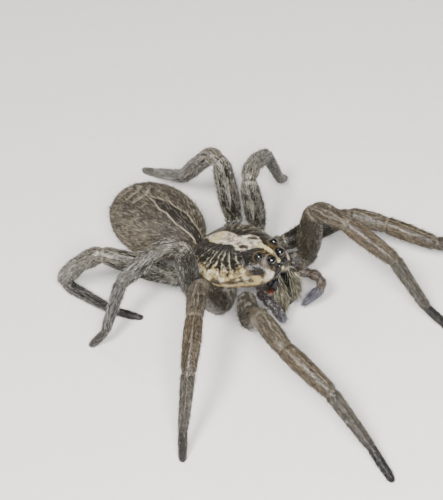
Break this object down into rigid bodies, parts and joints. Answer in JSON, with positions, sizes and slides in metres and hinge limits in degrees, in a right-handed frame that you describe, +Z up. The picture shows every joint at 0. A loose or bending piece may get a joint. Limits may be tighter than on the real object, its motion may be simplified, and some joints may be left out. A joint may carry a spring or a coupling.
{
  "type": "wolf spider",
  "caption": "Life-size still model of a burrowing wolf spider standing on its tarsi, legs spread, front legs forward.",
  "frame": {"origin": "on the floor, at the middle of the model's footprint", "axes": "+Z up, the spider faces -Y, its left side is +X"},
  "size_m": [0.044, 0.0528, 0.013],
  "materials": {
    "shield": "fine short hairs over dark brown horn, cream median band and rays",
    "abdomen": "short soft grey-brown hair with darker marks",
    "front_leg": "short brown hair with pale lengthwise lines",
    "rear_leg": "short grey hair mottled pale and dark",
    "palp": "short brown hair, grey foot",
    "jaw": "dark glossy base under long olive-yellow hairs",
    "under": "short dark hair",
    "eye": "glossy black lens",
    "fang": "smooth black-red horn"
  },
  "bodies": {
    "root": {"carapace": "shield", "eye_front_middle_L": "eye", "eye_front_middle_R": "eye", "eye_front_side_L": "eye", "eye_front_side_R": "eye", "eye_big_L": "eye", "eye_big_R": "eye", "eye_rear_L": "eye", "eye_rear_R": "eye", "chelicera_L": "jaw", "fang_L": "fang", "palp_L": "palp", "palp_foot_L": "palp", "maxilla_L": "under", "chelicera_R": "jaw", "fang_R": "fang", "palp_R": "palp", "palp_foot_R": "palp", "maxilla_R": "under", "labium": "under", "sternum": "under", "pedicel": "under", "abdomen": "abdomen", "spinneret_front_L": "abdomen", "spinneret_front_R": "abdomen", "spinneret_back_L": "abdomen", "spinneret_back_R": "abdomen", "coxa_L1": "front_leg", "femur_L1": "front_leg", "tibia_L1": "front_leg", "foot_L1": "front_leg", "coxa_L2": "front_leg", "femur_L2": "front_leg", "tibia_L2": "front_leg", "foot_L2": "front_leg", "coxa_L3": "rear_leg", "femur_L3": "rear_leg", "tibia_L3": "rear_leg", "foot_L3": "rear_leg", "coxa_L4": "rear_leg", "femur_L4": "rear_leg", "tibia_L4": "rear_leg", "foot_L4": "rear_leg", "coxa_R1": "front_leg", "femur_R1": "front_leg", "tibia_R1": "front_leg", "foot_R1": "front_leg", "coxa_R2": "front_leg", "femur_R2": "front_leg", "tibia_R2": "front_leg", "foot_R2": "front_leg", "coxa_R3": "rear_leg", "femur_R3": "rear_leg", "tibia_R3": "rear_leg", "foot_R3": "rear_leg", "coxa_R4": "rear_leg", "femur_R4": "rear_leg", "tibia_R4": "rear_leg", "foot_R4": "rear_leg"}
  },
  "joints": []
}
